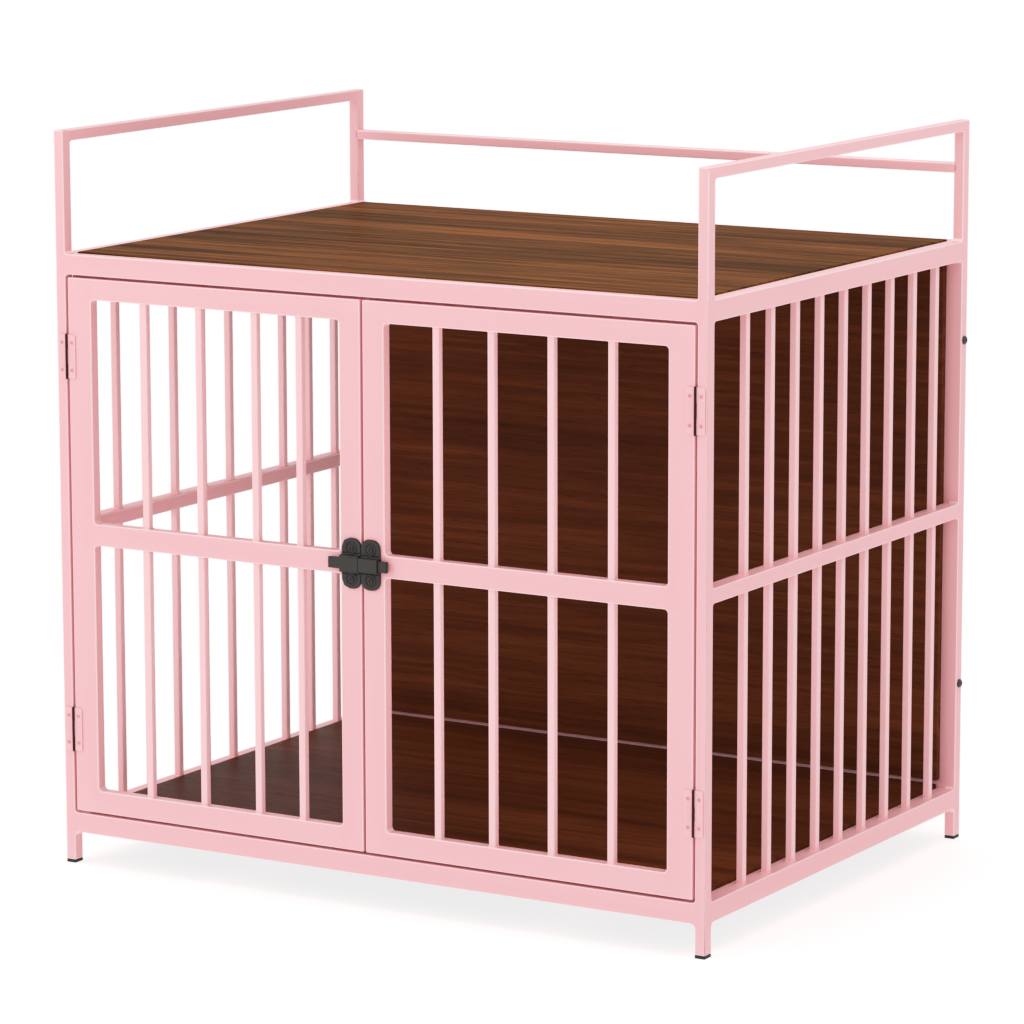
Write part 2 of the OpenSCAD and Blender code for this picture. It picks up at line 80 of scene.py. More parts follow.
# %% A wire that can be added and multiplied
class Wire:
    """One output socket of a finish, ready for sums."""

    def __init__(self, finish, socket):
        self.finish = finish
        self.socket = socket

    def sum(self, operation, first, second):
        return self.finish.node("Math", {"operation": operation}, {0: first, 1: second})

    def __add__(self, other):
        return self.sum("ADD", self, other)

    def __sub__(self, other):
        return self.sum("SUBTRACT", self, other)

    def __rsub__(self, other):
        return self.sum("SUBTRACT", other, self)

    def __mul__(self, other):
        return self.sum("MULTIPLY", self, other)

    __radd__ = __add__
    __rmul__ = __mul__


# %% A finish and its nodes
class Finish:
    """A material with one Principled shader, and the name of the slot that it stands for."""

    def __init__(self, name, slot, **constants):
        self.slot = slot
        self.material = bpy.data.materials.new(name)
        self.material.use_nodes = True
        self.tree = self.material.node_tree
        self.shader = self.tree.nodes["Principled BSDF"]
        for socket, value in constants.items():
            self.shader.inputs[socket.replace("_", " ")].default_value = value
        self.place = self.node("TexCoord", {}, {}, "Object")

    def node(self, kind, settings, sockets, output=0):
        made = self.tree.nodes.new("ShaderNode" + kind)
        for name, value in settings.items():
            if name == "stops":
                stops = made.color_ramp.elements
                stops[0].position, stops[-1].position = value[0][0], value[-1][0]
                for where, _ in value[1:-1]:
                    stops.new(where)
                for stop, (_, colour) in zip(stops, value):
                    stop.color = (*colour, 1)
            else:
                setattr(made, name, value)
        for name, value in sockets.items():
            if isinstance(value, Wire):
                self.tree.links.new(value.socket, made.inputs[name])
            else:
                made.inputs[name].default_value = value
        return Wire(self, made.outputs[output])

    def stretched(self, scale):
        return self.node("Mapping", {}, {"Vector": self.place, "Scale": scale})

    def noise(self, scale, detail=3, roughness=0.5, distortion=0):
        return self.node("TexNoise", {}, {"Vector": self.stretched(scale), "Scale": 1, "Detail": detail,
                                          "Roughness": roughness, "Distortion": distortion})

    def edge(self):
        """The value that each piece stores along its edges."""
        return self.node("Attribute", {"attribute_name": "edge"}, {}, "Fac")

    def mixed(self, factor, first, second):
        return self.node("Mix", {"data_type": "RGBA"}, {0: factor, 6: first, 7: second}, 2)

    def feed(self, socket, value):
        self.tree.links.new(value.socket, self.shader.inputs[socket])

    def bump(self, height, distance, strength=1):
        self.feed("Normal", self.node("Bump", {}, {"Height": height, "Distance": distance,
                                                   "Strength": strength}))


# %% Colours
def tint(code):
    """A colour written as six hex digits, in the linear light that a shader works in."""
    values = [int(code[place:place + 2], 16) / 255 for place in (0, 2, 4)]
    return tuple(v / 12.92 if v <= 0.04045 else ((v + 0.055) / 1.055) ** 2.4 for v in values)


def shade_of(code, share=1):
    """The same colour with its alpha, darkened to a share of its light."""
    return (*[value * share for value in tint(code)], 1)


print("walnut in linear light:", [round(v, 3) for v in tint("875f45")])

# %% [markdown]
# ## Powder coat
#
# Powder coat is sprayed on dry and baked, so it flows into a faintly dimpled skin. Each edge is painted
# paler, a painted highlight. The dimples are a fine noise that feeds a Bump node. The edges use a value
# that each piece stores on its own points, which is surer than guessing edges from the shading.

# %% The pink powder coat
def powder_coat(name, colour, painted_edge_colour):
    coat = Finish(name, "pink_steel", Specular_IOR_Level=0.3)
    cloud = coat.noise((7, 7, 7), detail=2)
    peel = coat.noise((620, 620, 620), detail=2, roughness=0.4)
    speck = coat.noise((2300, 2300, 2300), detail=1)
    shade = coat.mixed(cloud * 0.55, shade_of(colour), shade_of(colour, 0.955))
    shade = coat.mixed(speck * 0.08, shade, shade_of(colour, 0.9))
    # The edge value mixes in the painted edge colour: a painted highlight on the frame's pink, painted shade
    # on the hinge screws' coat.
    coat.feed("Base Color", coat.mixed(coat.edge() * 0.75, shade, shade_of(painted_edge_colour)))
    coat.feed("Roughness", peel * 0.1 + cloud * 0.08 + 0.34)
    coat.bump(peel + speck * 0.3, 0.00006, 0.5)
    return coat


pink = powder_coat("pink powder coat", "f0adb1", "ffdbdc")
# The hinge screws' coat is a darker pink, and its edge colour darker still: painted shade round the rims and
# in the recesses, so the heads read as small dark specks.
leaf_screw_coat = powder_coat("pink coat on screws", "e3979c", "d88d92")
print(pink.material.name, "has", len(pink.tree.nodes), "nodes")

# %% [markdown]
# ## Walnut laminate
#
# The boards are chipboard with a printed walnut skin. A print of wood has five scales: broad bands of
# colour, growth lines, streaks, fibres a few millimetres wide, and short dark pores. Each is a noise
# stretched along the grain, and a colour ramp turns their sum into browns.

# %% The walnut laminate
def walnut(name, dark, middle, light, shine, spread):
    board = Finish(name, "walnut_board", Specular_IOR_Level=shine)
    drift = board.noise((1.6, 5, 5), detail=2)
    bands = board.noise((0.9, 11, 11), detail=4, roughness=0.55, distortion=0.6)
    growth = board.noise((1.3, 48, 48), detail=5, roughness=0.6, distortion=0.9)
    streaks = board.noise((4, 125, 125), detail=4, roughness=0.65, distortion=0.4)
    fibre = board.noise((7, 330, 330), detail=4, roughness=0.7)
    pores = board.noise((38, 820, 820), detail=2)
    tone = bands * 0.3 + growth * 0.45 + streaks * 0.5 + fibre * 0.3 + drift * 0.2 - 0.375
    stops = [(0.5 - spread, tint(dark)), (0.5, tint(middle)), (0.5 + spread, tint(light))]
    ramp = board.node("ValToRGB", {"stops": stops}, {"Fac": tone})
    dashes = board.node("MapRange", {}, {"Value": pores, "From Min": 0.6, "From Max": 0.72})
    board.feed("Base Color", board.mixed(dashes * 0.45, ramp, shade_of(dark, 0.5)))
    board.feed("Roughness", fibre * 0.16 + dashes * 0.2 + 0.36)
    board.bump(fibre - dashes * 0.7, 0.00008, 0.5)
    return board


top_walnut = walnut("walnut laminate, top", "3f230d", "603a1c", "8a532c", 0.0015, 0.12)
# Painted shade: the back and floor boards are darker, redder copies of the top's walnut, standing for the
# shade inside the crate.
shaded_back_walnut = walnut("walnut laminate, back, painted shade", "331810", "542a18", "773f24", 0.02, 0.32)
shaded_floor_walnut = walnut("walnut laminate, floor, painted shade", "35190f", "552a18", "7a4124", 0.02, 0.28)
print(top_walnut.material.name, "has", len(top_walnut.tree.nodes), "nodes")

# %% [markdown]
# ## Black casting, black bolts and feet
#
# The slide bolt is cast zinc with a matt black coat: it keeps the sand-fine grain of its mould, and its
# edges are painted darker in patches, which is painted shade. The steel bolts are rubbed paler along their
# edges. The feet are plastic, with a fine even grain.

# %% The blacks
def black_coat(name, slot, colour, edge_wear_and_shade_colour, edge_wear_and_shade, rough, grain, depth):
    coat = Finish(name, slot, Specular_IOR_Level=0.4)
    sand = coat.noise((grain, grain, grain), detail=3, roughness=0.6)
    patch = coat.noise((60, 60, 60), detail=2)
    shade = coat.mixed(patch * 0.5, shade_of(colour), shade_of(colour, 0.7))
    # The edge value mixes in a colour along the edges: painted shade on the casting, rubbed wear on the bolts
    # and feet.
    coat.feed("Base Color", coat.mixed(coat.edge() * patch * edge_wear_and_shade, shade, shade_of(edge_wear_and_shade_colour)))
    coat.feed("Roughness", sand * 0.18 + rough)
    coat.bump(sand, depth)
    return coat


# Painted shade: the casting darkens in patches towards near-black along its edges.
casting = black_coat("matt black casting", "black_casting", "2b2622", "100d0c", 1.3, 0.45, 900, 0.0001)
bolt_black = black_coat("black oxide steel", "black_bolt", "1f1f20", "4d4d50", 0.7, 0.3, 1500, 0.00003)
plastic = black_coat("black plastic", "black_plastic", "161616", "242424", 0.2, 0.5, 1800, 0.00006)
print(casting.material.name, "has", len(casting.tree.nodes), "nodes")

# %% [markdown]
# ## Plated screws and hinge pins
#
# Zinc plate is bright but cloudy. Fine turning marks run round each screw, so a fast noise stands for
# them, and a slower one clouds the plate.

# %% The bare metals
def bare_metal(name, slot, colour, rough):
    metal = Finish(name, slot, Metallic=1)
    marks = metal.noise((900, 900, 2600), detail=3)
    cloud = metal.noise((150, 150, 150), detail=2)
    metal.feed("Base Color", metal.mixed(cloud * 0.6, shade_of(colour), shade_of(colour, 0.72)))
    metal.feed("Roughness", marks * 0.2 + cloud * 0.15 + rough)
    metal.bump(marks, 0.00002)
    return metal


zinc = bare_metal("zinc plate", "zinc_steel", "c4c6c9", 0.2)
# Painted shade: the knuckles and pins take a dark red-brown that stands for the dark line of the gap between
# the hinge leaves.
pin_steel = bare_metal("pin steel with painted gap shade", "pin_steel", "4a2a2c", 0.45)
print(len(bpy.data.materials), "finishes so far")

# %% [markdown]
# ## Small tools for shaping
#
# Most of the crate is square tube. `block` makes one from a cube with rounded edges. `plate` makes a
# whole welded frame from a single sheet: it cuts the sheet along the window lines, drops the windows,
# gives the rest its depth, and then rounds the inner corners, where the weld sits, and the outer edges.

# %% Round, cut and extrude
def round_edges(shape, edges, radius, segments=3):
    if radius > 0 and edges:
        bmesh.ops.bevel(shape, geom=edges, offset=radius, offset_type="OFFSET", affect="EDGES",
                        segments=segments, profile=0.5, material=-1, clamp_overlap=True)


def sharp_rim(shape, level, axis=2):
    """The sharp edges at a level, or past it, along one axis."""
    return [e for e in shape.edges
            if e.calc_face_angle(0) > 1 and min(v.co[axis] for v in e.verts) > level - 0.01]


def pulled_up(shape, faces, rise):
    """Extrudes faces and moves what grew out of them by a rise."""
    grown = bmesh.ops.extrude_face_region(shape, geom=faces)["geom"]
    points = [v for v in grown if isinstance(v, bmesh.types.BMVert)]
    bmesh.ops.translate(shape, vec=(0, 0, rise), verts=points)


def cut(shape, point, normal):
    bmesh.ops.bisect_plane(shape, geom=shape.verts[:] + shape.edges[:] + shape.faces[:],
                           plane_co=point, plane_no=normal)


# %% Join and move shells
def joined(shapes):
    """Puts several shapes in one, each still a closed shell."""
    whole = bmesh.new()
    for shape in shapes:
        spare = bpy.data.meshes.new("spare")
        shape.to_mesh(spare)
        shape.free()
        whole.from_mesh(spare)
        bpy.data.meshes.remove(spare)
    return whole


def moved(shape, matrix):
    """Moves a shape, and turns its faces outwards again if the move mirrored it."""
    bmesh.ops.transform(shape, matrix=matrix, verts=shape.verts)
    if matrix.determinant() < 0:
        bmesh.ops.reverse_faces(shape, faces=shape.faces)
    return shape


def twin(shape):
    """A copy of a shape, mirrored to the other side of the crate."""
    return moved(shape.copy(), Matrix.Scale(-1, 4, (1, 0, 0)))


# %% Blocks
def block(low, high, radius, segments=3, only=None):
    """A box between two corners. `only` picks the edges to round, by their direction."""
    shape = bmesh.new()
    bmesh.ops.create_cube(shape, size=1)
    low, high = Vector(low), Vector(high)
    bmesh.ops.scale(shape, vec=high - low, verts=shape.verts)
    bmesh.ops.translate(shape, vec=(low + high) / 2, verts=shape.verts)
    edges = [e for e in shape.edges
             if only is None or abs((e.verts[1].co - e.verts[0].co).normalized()[only]) > 0.9]
    round_edges(shape, edges, radius, segments)
    return shape


trial = block((0, 0, 0), (10, 10, 10), 1)
print("a block rounded on every edge has", len(trial.faces), "faces")
trial.free()

# %% Plates with windows
UPRIGHT = Matrix(((1, 0, 0, 0), (0, 0, -1, 0), (0, 1, 0, 0), (0, 0, 0, 1)))    # faces the front
SIDEWAYS = Matrix(((0, 0, 1, 0), (1, 0, 0, 0), (0, 1, 0, 0), (0, 0, 0, 1)))    # faces the right


def plate(outline, windows, low, high, weld, radius, segments=3):
    """A sheet in the XY plane, from z = low to high. `weld` gives the radius of an inner corner."""
    left, bottom, right, top = outline
    shape = bmesh.new()
    bmesh.ops.create_grid(shape, x_segments=1, y_segments=1, size=0.5)
    bmesh.ops.scale(shape, vec=(right - left, top - bottom, 1), verts=shape.verts)
    bmesh.ops.translate(shape, vec=((left + right) / 2, (bottom + top) / 2, low), verts=shape.verts)
    for axis, ends in ((0, (left, right)), (1, (bottom, top))):
        lines = sorted({w[axis] for w in windows} | {w[axis + 2] for w in windows})
        for line in [v for v in lines if ends[0] < v < ends[1]]:
            point, normal = Vector(), Vector()
            point[axis], normal[axis] = line, 1
            cut(shape, point, normal)
    middles = [(face, face.calc_center_median()) for face in shape.faces]
    open_faces = [face for face, m in middles
                  if any(w[0] < m.x < w[2] and w[1] < m.y < w[3] for w in windows)]
    bmesh.ops.delete(shape, geom=open_faces, context="FACES")
    pulled_up(shape, shape.faces[:], high - low)
    bmesh.ops.recalc_face_normals(shape, faces=shape.faces)
    inner = [e for e in shape.edges if e.calc_face_angle_signed(0) < -0.5]
    for size in sorted({weld(e.verts[0].co.x, e.verts[0].co.y) for e in inner}):
        group = [e for e in shape.edges if e.calc_face_angle_signed(0) < -0.5
                 and weld(e.verts[0].co.x, e.verts[0].co.y) == size]
        round_edges(shape, group, size, 5)
    outer = [e for e in shape.edges if e.calc_face_angle(0) > 1]
    round_edges(shape, outer, radius, segments)
    return shape


trial = plate((0, 0, 30, 30), [(10, 10, 20, 20)], 0, 5, lambda x, y: 2, 1)
print("a plate with one window has", len(trial.faces), "faces")
trial.free()


# %% [markdown]
# ## Finishing a piece
#
# A finished piece is scaled to metres and left at the origin. Its points store how far their normal
# turns away from the nearest flat side, which is the edge value that the coats read. Normals weighted
# by area keep the flats flat and let only the rounded edges shade.

# %% Turn a shape into a piece
SHARP = math.radians(42)         # edges that turn more than this stay sharp
FULL_EDGE = 0.13                 # how far a normal has turned where the edge value is full


def piece(name, shape, finish, body, *nodes, glint=1):
    bmesh.ops.scale(shape, vec=(MM, MM, MM), verts=shape.verts)
    mesh = bpy.data.meshes.new(name)
    shape.to_mesh(mesh)
    shape.free()
    for face in mesh.polygons:
        face.use_smooth = True
    mesh.set_sharp_from_angle(angle=SHARP)
    edge = mesh.attributes.new("edge", "FLOAT", "POINT")
    for loop, normal in zip(mesh.loops, mesh.corner_normals):
        turned = 1 - max(abs(part) for part in normal.vector)
        point = edge.data[loop.vertex_index]
        point.value = max(point.value, glint * min(1, turned / FULL_EDGE))
    mesh.materials.append(finish.material)
    thing = bpy.data.objects.new(name, mesh)
    bpy.context.collection.objects.link(thing)
    thing.modifiers.new("even shading", "WEIGHTED_NORMAL").keep_sharp = True
    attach(thing, body)
    if nodes:
        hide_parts(*nodes)
    print(f"{name}: {len(mesh.polygons)} faces")
    return thing


# %% [markdown]
# ## The welded frame
#
# Front, sides and back are each one welded frame, and each pair shares a corner post. The frames are
# drawn as whole plates that overlap in the posts. A hair of inset decides which of the two shows on
# each side of a post, so the rails run into the posts with no seam, as ground welds do.

# %% Sizes of the frame
HAIR = 0.03            # keeps the faces of two plates off one plane
EDGE = 1.9             # outer corner radius of the tubes
WELD_LEG = 5.5         # inner corner radius between a leg and the rail over it
WELD_SMALL = 3.5       # and everywhere else
front, back = post_low.y, span("right_rear_post")[1].y
outer_x, inner_x = post_high.x, post_low.x
post_depth = post_high.y - post_low.y
foot_top, post_top = post_low.z, post_high.z
top_low, top_high = span("right_top_rail")
mid_low, mid_high = span("right_mid_rail")
base_low, base_high = span("right_bottom_rail")
stile_x = span("right_back_stile")[0].x
back_rail_top = span("rear_bottom_rail")[1].z
print("rails' tops, mm:", [round(v.z, 1) for v in (base_high, mid_high, top_high)])


def weld_size(x, z):
    """The weld's radius at a corner: it depends only on the height."""
    return WELD_LEG if z < base_low.z + 1 else WELD_SMALL


# %% Front and rear frames
def end_frame(inset_front, inset_back, near, window_x, window_bottom):
    """Two posts with an upper and a lower rail between them, standing at y = near."""
    far = near + post_depth
    windows = [(-inner_x, 0, inner_x, base_low.z),
               (-window_x, window_bottom, window_x, top_low.z),
               (-inner_x, top_high.z, inner_x, post_top + 1)]
    shape = plate((-outer_x + HAIR, foot_top, outer_x - HAIR, post_top - HAIR), windows,
                  -(far - inset_back), -(near + inset_front), weld_size, EDGE)
    return moved(shape, UPRIGHT)


piece("front_frame", end_frame(0, HAIR, front, inner_x, base_high.z), pink, "root",
      "left_front_post", "right_front_post", "front_top_rail", "front_bottom_rail")
piece("rear_frame", end_frame(HAIR, 0, back - post_depth, stile_x, back_rail_top), pink, "root",
      "left_rear_post", "right_rear_post", "rear_top_rail", "rear_bottom_rail",
      "left_back_stile", "right_back_stile")

# %% Side frames
def side_frame():
    """The right side: its rails run into the posts, and wider strips back them on the inside."""
    near, far = front + post_depth, back - post_depth
    guard_low = span("right_guard_rail")[0].z
    windows = [(near, 0, far, base_low.z), (near, base_high.z, far, mid_low.z),
               (near, mid_high.z, far, top_low.z), (near, top_high.z, far, guard_low)]
    sheet = plate((front + HAIR, foot_top, back - HAIR, post_top), windows,
                  inner_x + HAIR, outer_x, weld_size, EDGE)
    shapes = [moved(sheet, SIDEWAYS)]
    for low, high in ((base_low, base_high), (mid_low, mid_high), (top_low, top_high)):
        shapes.append(block((low.x, near, low.z + HAIR), (outer_x - EDGE, far, high.z - HAIR), EDGE, only=1))
    return joined(shapes)


right_side = side_frame()
left_side = twin(right_side)
for side, shape in (("right", right_side), ("left", left_side)):
    piece(side + "_side_frame", shape, pink, "root",
          *(f"{side}_{rail}" for rail in ("guard_rail", "top_rail", "mid_rail", "bottom_rail")))

# %% Rear guard rail
guard_low, guard_high = span("rear_guard_rail")
guard_low.x -= EDGE
guard_high.x += EDGE
piece("rear_guard", block(guard_low, guard_high, EDGE, only=0), pink, "root", "rear_guard_rail")

# %% [markdown]
# ## Bars
#
# Every bar is a small square tube with soft corners, welded at both ends. A bar is a rounded block, cut
# near its ends, and the end rings are widened a little for the bead of weld. The points of the measured
# bars fall into one group for each bar, and those groups tell where the bars stand.

# %% Bars between rails
BEAD = 1.25            # how much wider the bead of weld is than the bar
BEAD_H = 1.3
BAR_APART = 10         # marks further apart than this belong to different bars
SUNK = 0.2             # how far a bar's end is sunk in its rail
CORNER = 0.16          # a bar's corner radius, as a share of its width
BAR_GLINT = 0.7


def places_of(node, axis):
    """The middles of the bars in a measured part: its points form one group for each bar."""
    marks = sorted({round(v.co[axis] / MM, 2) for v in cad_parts[node].data.vertices})
    groups = [[marks[0]]]
    for mark in marks[1:]:
        if mark - groups[-1][-1] > BAR_APART:
            groups.append([])
        groups[-1].append(mark)
    return [(group[0] + group[-1]) / 2 for group in groups]


def bar_row(node, along, cuts):
    """Bars side by side on one axis, each in a lower and an upper length."""
    low, high = span(node)
    size = high[1 - along] - low[1 - along]
    shapes = []
    for place in places_of(node, along):
        for bottom, top in ((low.z, cuts[0]), (cuts[1], high.z)):
            start, end = low.copy(), high.copy()
            start[along], end[along] = place - size / 2, place + size / 2
            start.z, end.z = bottom - SUNK, top + SUNK
            shape = block(start, end, size * CORNER, only=2)
            middle = (start + end) / 2
            for level in (start.z + BEAD_H, end.z - BEAD_H):
                cut(shape, (0, 0, level), (0, 0, 1))
            ends = [v for v in shape.verts if abs(v.co.z - middle.z) > (end.z - start.z) / 2 - 0.1]
            bmesh.ops.scale(shape, vec=(BEAD, BEAD, 1), verts=ends, space=Matrix.Translation(-middle))
            shapes.append(shape)
    return joined(shapes)


for side in ("left", "right"):
    piece(side + "_bars", bar_row(side + "_side_bars", 1, (mid_low.z, mid_high.z)), pink, "root",
          side + "_side_bars", glint=BAR_GLINT)

# %% [markdown]
# ## Doors
#
# Each door is a flat frame with two windows, a shade thinner than the posts, so that it closes flush.
# One plate makes it, with the small inner radius that the weld leaves in each corner of a window.

# %% Door frames and their bars
DOOR_PARTS = ("hinge_stile", "lock_stile", "top_rail", "mid_rail", "bottom_rail")
DOOR_WELD = 4.2        # inner corner radius of a window
DOOR_EDGE = 1.4        # outer corner radius of the tubes


def door(side):
    names = [f"{side}_door_{part}" for part in DOOR_PARTS]
    low, high = span(*names)
    window_low, window_high = span(names[2])
    middle_low, middle_high = span(names[3])
    bottom_high = span(names[4])[1].z
    windows = [(window_low.x, bottom_high, window_high.x, middle_low.z),
               (window_low.x, middle_high.z, window_high.x, window_low.z)]
    shape = plate((low.x, low.z, high.x, high.z), windows, -high.y, -low.y, lambda x, z: DOOR_WELD, DOOR_EDGE)
    piece(side + "_door", moved(shape, UPRIGHT), pink, side + "_door", *names)
    bars = bar_row(side + "_door_bars", 0, (middle_low.z, middle_high.z))
    piece(side + "_bars_of_door", bars, pink, side + "_door", side + "_door_bars", glint=BAR_GLINT)


for side in ("left", "right"):
    door(side)

# %% [markdown]
# ## Boards
#
# Laminate boards have hard thin edges, so the radius is under a millimetre. The carriers under them are
# plain tubes, and the measured parts already have their shape: they only need the coat.

# %% Top, floor and back boards
for name, finish in (("top_panel", top_walnut), ("floor_panel", shaded_floor_walnut), ("back_panel", shaded_back_walnut)):
    low, high = span(name)
    piece(name.replace("panel", "board"), block(low, high, 0.7, 2), finish, "root", name)

for name in ("top_carriers", "floor_carriers", "door_stop"):
    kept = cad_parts[name]
    kept.data.materials.clear()
    kept.data.materials.append(pink.material)
    print(name, "keeps its measured shape")

# %% [markdown]
# ## Screws
#
# Every screw here has a cross recess. The head starts as a cone with straight sides, its rim is
# rounded, and its flat is inset. The points of the inset ring are moved on to a cross and pushed in.

# %% A cross-head screw
def push_in(shape, flat, depth):
    """Sinks one face, with new walls round it."""
    pulled_up(shape, [flat], -depth)
    bmesh.ops.delete(shape, geom=[flat], context="FACES")


def screw(radius, height, shank, length, rim):
    """A screw that stands on the origin with its head towards +Z and its shank below."""
    shape = bmesh.new()
    bmesh.ops.create_cone(shape, cap_ends=True, segments=24, radius1=radius, radius2=radius, depth=height)
    bmesh.ops.rotate(shape, matrix=Matrix.Rotation(math.radians(7.5), 3, "Z"), verts=shape.verts)
    bmesh.ops.translate(shape, vec=(0, 0, height / 2), verts=shape.verts)
    top = [e for e in shape.edges if all(v.co.z > height - 0.01 for v in e.verts)]
    round_edges(shape, top, rim, 3)
    flat = max(shape.faces, key=lambda face: face.calc_center_median().z)
    bmesh.ops.inset_region(shape, faces=[flat], thickness=radius * 0.12)
    arm, half = radius * 0.52, radius * 0.11
    for corner in flat.verts:
        x, y = corner.co.x, corner.co.y
        long, short = max(abs(x), abs(y)), min(abs(x), abs(y))
        reach = half + (arm - half) * min(1, 1.15 * (1 - short / long))
        if abs(x) > abs(y):
            corner.co.x, corner.co.y = math.copysign(reach, x), math.copysign(half, y)
        else:
            corner.co.x, corner.co.y = math.copysign(half, x), math.copysign(reach, y)
    push_in(shape, flat, height * 0.6)
    stem = bmesh.new()
    bmesh.ops.create_cone(stem, cap_ends=True, segments=12, radius1=shank * 0.5, radius2=shank, depth=length)
    bmesh.ops.translate(stem, vec=(0, 0, -length / 2 + 0.1), verts=stem.verts)
    return joined([shape, stem])


trial = screw(4, 2, 2, 12, 0.9)
print("a screw has", len(trial.faces), "faces")
trial.free()


# %% Sets of screws
def turned_to(direction):
    """The turn that points a screw's head along a direction."""
    return Vector((0, 0, 1)).rotation_difference(Vector(direction)).to_matrix().to_4x4()


def screws(name, places, direction, sizes, finish, body, *nodes):
    """One piece made of equal screws. `sizes` are the head's radius and height, the shank's radius and
    length, and the radius of the head's rim."""
    first = screw(*sizes)
    copies = [moved(first.copy(), Matrix.Translation(place) @ turned_to(direction)) for place in places]
    first.free()
    return piece(name, joined(copies), finish, body, *nodes)


# %% Screws in the boards
def at_thirds(low, high, inset):
    return (low + inset, (low + high) / 2, high - inset)


BOARD_HEAD, BOARD_HEAD_H = 4, 2
for name in ("top_screws", "floor_screws"):
    low, high = span(name)
    places = [(x, y, low.z + BOARD_HEAD_H) for x in (low.x + BOARD_HEAD, high.x - BOARD_HEAD)
              for y in at_thirds(low.y, high.y, BOARD_HEAD)]
    sizes = (BOARD_HEAD, BOARD_HEAD_H, 2, high.z - low.z - BOARD_HEAD_H, 0.9)
    screws(name + "_seen", places, (0, 0, -1), sizes, zinc, "root", name)
BACK_HEAD = 3.5
back_screw = (3.4, 1.2, 2, 18, 0.3)
low, high = span("back_screws")
places = [(x, high.y - 1.3, z) for x in (low.x + BACK_HEAD, high.x - BACK_HEAD)
          for z in at_thirds(low.z, high.z, BACK_HEAD)]
screws("back_screws_seen", places, (0, 1, 0), back_screw, zinc, "root", "back_screws")

# %% [markdown]
# ## Hinges
#
# A hinge is two thin leaves whose edges are rolled into knuckles round one pin. A leaf is a small plate
# with notches where the other leaf's knuckles pass, and each knuckle is a short tube with eased ends.

# %% Sizes of the hinges
LEAF = 1.2                       # thickness of a leaf
hinge_low, hinge_high = span("right_post_hinge_leaves")
pin_low, pin_high = span("right_hinge_pins")
axis_x, axis_y = (pin_low.x + pin_high.x) / 2, (pin_low.y + pin_high.y) / 2
barrel_r = axis_y - hinge_low.y
leaf_reach = hinge_high.x - axis_x
hinge_h = 48
PLAY = 0.3                       # clear space between knuckles
hinge_starts = (hinge_low.z, hinge_high.z - hinge_h)
knuckle_h = (hinge_h - 2 * PLAY) / 3
print("hinge line, mm:", round(axis_x, 2), round(axis_y, 2), "reach", round(leaf_reach, 2))

# %% Hinge leaves and knuckles
LEAF_CORNER = 2.2
LEAF_RIM = 0.35
SOFT = 0.3                       # rounding on the ends of knuckles and pins


def leaf(mine, bottom, side):
    """One leaf on the right side of the crate; `side` is 1 on the post and -1 on the door."""
    starts = [k * (knuckle_h + PLAY) for k in range(3)]
    clear = barrel_r + PLAY
    windows = [(-1, starts[k] - PLAY, clear, starts[k] + knuckle_h + PLAY) for k in range(3) if k not in mine]
    shape = plate((0, 0, leaf_reach, hinge_h), windows, 0, LEAF, lambda x, y: 0.4, 0)
    corners = [e for e in shape.edges if min(v.co.x for v in e.verts) > leaf_reach - 0.01
               and abs(e.verts[0].co.z - e.verts[1].co.z) > 1]
    round_edges(shape, corners, LEAF_CORNER, 4)
    round_edges(shape, sharp_rim(shape, LEAF), LEAF_RIM, 2)
    sheet = moved(moved(shape, UPRIGHT), Matrix.Scale(side, 4, (1, 0, 0)))
    return moved(sheet, Matrix.Translation((axis_x, front, bottom)))


def barrel(radius, length, middle):
    """A short upright cylinder on the hinge line."""
    shape = bmesh.new()
    bmesh.ops.create_cone(shape, cap_ends=True, segments=20, radius1=radius, radius2=radius, depth=length)
    round_edges(shape, [e for e in shape.edges if e.calc_face_angle(0) > 1], SOFT, 2)
    return moved(shape, Matrix.Translation((axis_x, axis_y, middle)))


def knuckles(mine):
    return [barrel(barrel_r, knuckle_h, start + k * (knuckle_h + PLAY) + knuckle_h / 2)
            for start in hinge_starts for k in mine]


def on_side(shapes, sign):
    """Joins shapes drawn on the right side, and mirrors them when the sign asks for the left."""
    whole = joined(shapes)
    return whole if sign > 0 else moved(whole, Matrix.Scale(-1, 4, (1, 0, 0)))


# %% Leaves, pins and hinge screws
SCREW_RISE = 9                   # from the ends of a leaf
PIN_OVER = 1.6                   # how much longer a pin is than its knuckles
screw_x = leaf_reach - 4.5
screw_z = [start + rise for start in hinge_starts for rise in (SCREW_RISE, hinge_h - SCREW_RISE)]
small_screw = (1.9, 0.5, 1, 5.2, 0.25)
pin_r = (pin_high.x - pin_low.x) / 2
post_leaf, door_leaf = (0, 2), (1,)          # each leaf's own knuckles, counted from the bottom
for side, sign in (("right", 1), ("left", -1)):
    door_body = side + "_door"
    post_leaves = on_side([leaf(post_leaf, start, 1) for start in hinge_starts], sign)
    door_leaves = on_side([leaf(door_leaf, start, -1) for start in hinge_starts], sign)
    piece(side + "_post_leaves", post_leaves, pink, "root", side + "_post_hinge_leaves")
    piece(side + "_door_leaves", door_leaves, pink, door_body, side + "_door_hinge_leaves")
    # The knuckles' dark red-brown is painted shade for the gap between the leaves.
    piece(side + "_post_knuckles", on_side(knuckles(post_leaf), sign), pin_steel, "root")
    piece(side + "_door_knuckles", on_side(knuckles(door_leaf), sign), pin_steel, door_body)
    pins = [barrel(pin_r, hinge_h + PIN_OVER, start + hinge_h / 2) for start in hinge_starts]
    piece(side + "_pins", on_side(pins, sign), pin_steel, "root", side + "_hinge_pins")
    screws(side + "_door_leaf_screws", [(sign * (axis_x - screw_x), front - LEAF, z) for z in screw_z],
           (0, -1, 0), small_screw, leaf_screw_coat, door_body, side + "_door_hinge_screws")
places = [(sign * (axis_x + screw_x), front - LEAF, z) for z in screw_z for sign in (1, -1)]
